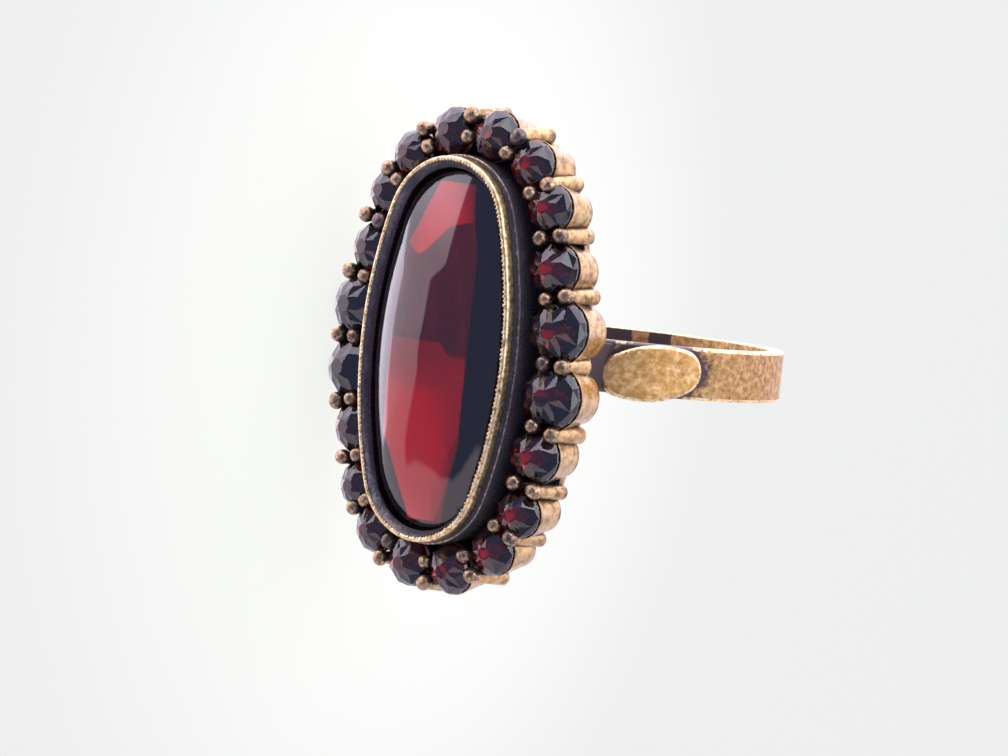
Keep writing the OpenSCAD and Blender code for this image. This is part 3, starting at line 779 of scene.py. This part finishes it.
def cutStone(s):
    # table, stars, mains and small facets to the girdle, and the pavilion behind
    def ring(radius, height, turn, count=8):
        return [Vector((radius * math.sin(a), radius * math.cos(a), height)) for a in
                (2 * math.pi * (k + turn) / count for k in range(count))]
    rings = [ring(*s["table"], 0), ring(*s["star"], 0.5), ring(*s["main"], 0), ring(1, s["girdle"], 0, 16),
             ring(1, -s["girdle"], 0, 16), ring(*s["lower"], 0.5), ring(s["culet"], -s["depth"], 0.5)]
    start = [sum(len(r) for r in rings[:k]) for k in range(len(rings))]
    faces = [tuple(range(8))]
    for k in range(8):
        t0, t1, m0, m1 = (start[row] + (k + step) % 8 for row in (0, 2) for step in (0, 1))
        s0, s9, l0, l9, c0, c9 = (start[row] + (k + step) % 8 for row in (1, 5, 6) for step in (0, -1))
        g, b = ([start[row] + (2 * k + step) % 16 for step in range(3)] for row in (3, 4))
        faces += [(t0, s0, t1), (t0, s9, m0, s0), (s0, m0, m1), (m0, g[0], g[1]), (m0, g[1], m1),
                  (m1, g[1], g[2]), (g[0], b[0], b[1], g[1]), (g[1], b[1], b[2], g[2]), (b[0], l0, b[1]),
                  (b[1], l0, b[2]), (b[0], l9, l0), (l9, c9, c0, l0)]
    faces.append(tuple(start[6] + k for k in range(8)))
    mesh = bpy.data.meshes.new("cutStone")
    mesh.from_pydata([p for r in rings for p in r], [], faces)
    return worked(mesh, outward)


def makeStones(s):
    places = [(matrix, (radius,) * 3) for matrix, radius in (stonePlace(i) for i in range(halo["stones"]))]
    stones = scattered("haloStones", places, cutStone(s), haloGarnet, 0.0, s["spin"], s["seed"])
    nodes = [f"halo_stone_{i + 1}" for i in range(halo["stones"])]
    placePiece(stones, "haloStones", [haloGarnet], nodes)


makeStones(haloCut)
print("halo stones made")

# shank: flat band, two oval plates and the seats that carry the gallery
shank = {"inside": 9.0, "thickness": 0.78, "width": 2.7, "bevel": 0.16, "innerBevel": 0.08, "lip": (0.02, 0.03),
         "steps": 288, "across": 14, "sharp": 40,
         # the plate's place: turn from the face, skew, shift along the finger; how deep it sinks into the band
         "plateTurn": 52.6, "plateSkew": -8.0, "plateShift": -0.15, "plateOval": (2.7, 1.45, 1.16),
         "plateHeight": 0.5, "plateEdge": 0.17, "plateSink": 0.2, "plateSteps": 120, "plateRings": 6,
         "seat": (4.9, 6.35), "seatInset": 0.15, "seatBevel": 0.1, "seatBevelSteps": 3, "seatShade": 0.8,
         "partSharp": 50,
         # painted shade round the plate, and how far it reaches; painted shade at the join under the head (full
         # inside this distance, fading over this one, starting here and rising over this); and painted dark
         # reflections of the head on the inside, in degrees
         "shade": 0.7, "shadeReach": 0.6, "join": (0.7, 7.2, 1.5, 5.4, 0.4), "darkReflection": 0.8,
         "darkReflections": ((-153.0, -125.0), (-167.5, -159.0)),
         # half the width under the head where the band is unworn, and how much painted shade darkens the
         # plate's far end
         "unworn": 4.5, "farShade": 0.5}


def onOutside(s, place):
    return place.z > 0 and math.hypot(place.x, place.z) > s["inside"] + s["thickness"] / 2


def plateGap(s, place):
    # how far a point of the band lies outside the plate's outline, in the plate's own length and width
    turn = math.radians(s["plateTurn"])
    along = abs(place.x) * math.cos(turn) - place.z * math.sin(turn)
    skew = math.radians(90 - s["plateSkew"])
    y = place.y - s["plateShift"]
    u = along * math.cos(skew) + y * math.sin(skew)
    v = -along * math.sin(skew) + y * math.cos(skew)
    length, width, end = s["plateOval"]
    return math.hypot(u / width, v / length) - 1


def bandPaintedShade(s, place, part):
    # painted shade round the plate and under the head, and painted dark reflections on the inside
    # part is 0 on the inside, 1 on the bevels and 2 on the outside
    gap = max(0.0, plateGap(s, place)) if place.z > 0 else math.inf
    byPlate = s["shade"] * max(0.0, 1 - gap / s["shadeReach"]) if part else 0.0
    most, end, fall, start, rise = s["join"]
    side = abs(place.x)
    byHead = max(0.0, min(most, (end - side) / fall, (side - start) / rise)) if onOutside(s, place) else 0.0
    turn = math.degrees(math.atan2(place.x, place.z))
    # painted dark reflections of the head on the band's inside
    reflectsDark = not part and any(low < turn < high for low, high in s["darkReflections"])
    return max(byPlate, byHead, s["darkReflection"] if reflectsDark else 0.0)


def makeBand(s):
    outer, half = s["inside"] + s["thickness"], s["width"] / 2
    rim = [(s["inside"], -half + s["innerBevel"], 0), (s["inside"] + s["lip"][0], -half + s["lip"][1], 1),
           (s["inside"] + s["innerBevel"], -half, 1)]
    rim += [(outer - out, -half + side, 1) for side, out in bevelSteps(s["bevel"])]
    flat = half - s["bevel"]
    profile = rim + [(outer, -flat + 2 * flat * k / s["across"], 2) for k in range(1, s["across"])]
    profile += [(r, -y, part) for r, y, part in reversed(rim)]
    rows = []
    for k in range(s["steps"]):
        a = 2 * math.pi * k / s["steps"]
        rows.append([Vector((r * math.sin(a), y, r * math.cos(a))) for r, y, part in profile])
    # the bevels are bright, the rest matt
    slots = [int(max(one[2], two[2]) == 1) for one, two in zip(profile, profile[1:] + profile[:1])]
    mesh = gridMesh("band", rows, [0.0] * len(profile), slots)
    # painted shade round the plates and under the head, and painted dark reflections inside, go onto the band
    sootAndShade = [bandPaintedShade(s, place, part) for row in rows for place, (r, y, part) in zip(row, profile)]
    mesh.attributes["tarnishAndShade"].data.foreach_set("value", sootAndShade)
    # under the head the band is unworn, and shines into the centre stone from behind
    for face in mesh.polygons:
        if abs(face.center.x) < s["unworn"] and onOutside(s, face.center):
            face.material_index = 1
    placePiece(tidyMesh(mesh, s["sharp"]), "band", [shankGilt, brightGilt], ["ring_metal"])


def shoulderPlate(s, side):
    # in from the outline, height, tarnish: up the wall, over its edge, then in to the middle
    levels = [(0.0, -s["plateSink"], 0.9), (0.0, 0.05, 0.8), (0.0, s["plateHeight"] - s["plateEdge"], 0.3)]
    levels += [(inset, s["plateHeight"] - drop, 0.0) for inset, drop in bevelSteps(s["plateEdge"], 1)]
    edge, rings = len(levels), s["plateRings"]
    levels += [(s["plateEdge"], s["plateHeight"], 0.0)] * rings
    turn, skew = math.radians(s["plateTurn"]), math.radians(90 - s["plateSkew"])
    away = Vector((math.sin(turn), 0, math.cos(turn)))
    tangent = Vector((math.cos(turn), 0, -math.sin(turn)))
    rows = []
    for t in ovalTurns(s["plateOval"], s["plateSteps"]):
        row = []
        for k, (inset, height, dark) in enumerate(levels):
            flat = ovalPoint(s["plateOval"], t, -inset) * min(1.0, 1 - (k - edge + 1) / rings)
            u = flat.x * math.cos(skew) - flat.y * math.sin(skew)
            v = flat.x * math.sin(skew) + flat.y * math.cos(skew)
            reach = s["inside"] + s["thickness"] + height
            p = u * tangent + Vector((0, v + s["plateShift"], 0)) + math.sqrt(reach ** 2 - u ** 2) * away
            row.append(Vector((p.x * side, p.y, p.z)))
        rows.append(row)
    # wall satin, edge burnished, top matt
    slots = [0] * 2 + [1] * (edge - 3) + [2] * (rings + 1)
    mesh = gridMesh("plate", rows, [level[2] for level in levels], slots, closed=(True, False))
    # inside its bright edge, painted shade darkens the end away from the head
    for k, point in enumerate(mesh.vertices):
        u = abs(point.co.x) * tangent.x + point.co.z * tangent.z
        if k % len(levels) > edge:
            mesh.attributes["tarnishAndShade"].data[k].value = max(0.0, s["farShade"] * u / s["plateOval"][0])
    return mesh


def gallerySeat(s, side):
    # block from the middle of the band up into the back plate
    wide = s["width"] / 2 - s["seatInset"]
    middle = s["inside"] + s["thickness"] / 2
    corners = [Vector((side * x, y, z)) for x in s["seat"] for y in (-wide, wide)
               for z in (math.sqrt(middle ** 2 - x ** 2), gallery["back"] + gallery["plate"] / 2)]
    mesh = bpy.data.meshes.new("seat")
    mesh.from_pydata(corners, [], [(0, 1, 3, 2), (4, 6, 7, 5), (0, 4, 5, 1), (2, 3, 7, 6), (1, 5, 7, 3),
                                   (0, 2, 6, 4)])
    # painted shade: the seats under the head are darkened where the head shades them
    mesh.attributes.new("tarnishAndShade", "FLOAT", "POINT").data.foreach_set("value", [s["seatShade"]] * 8)

    def bevel(work):
        bmesh.ops.bevel(work, geom=work.edges[:], offset=s["seatBevel"], segments=s["seatBevelSteps"],
                        affect="EDGES", profile=0.5)
    return worked(mesh, bevel)


def makeShank(s):
    makeBand(s)
    plates = joined("plates", [shoulderPlate(s, side) for side in (1, -1)])
    placePiece(tidyMesh(plates, s["partSharp"]), "shoulderPlates", [galleryGilt, brightGilt, plateLitGilt],
               ["ring_metal"])
    seats = joined("seats", [gallerySeat(s, side) for side in (1, -1)])
    placePiece(tidyMesh(seats, s["partSharp"]), "gallerySeats", [shankGilt], ["ring_metal"])


makeShank(shank)
print("shank made")
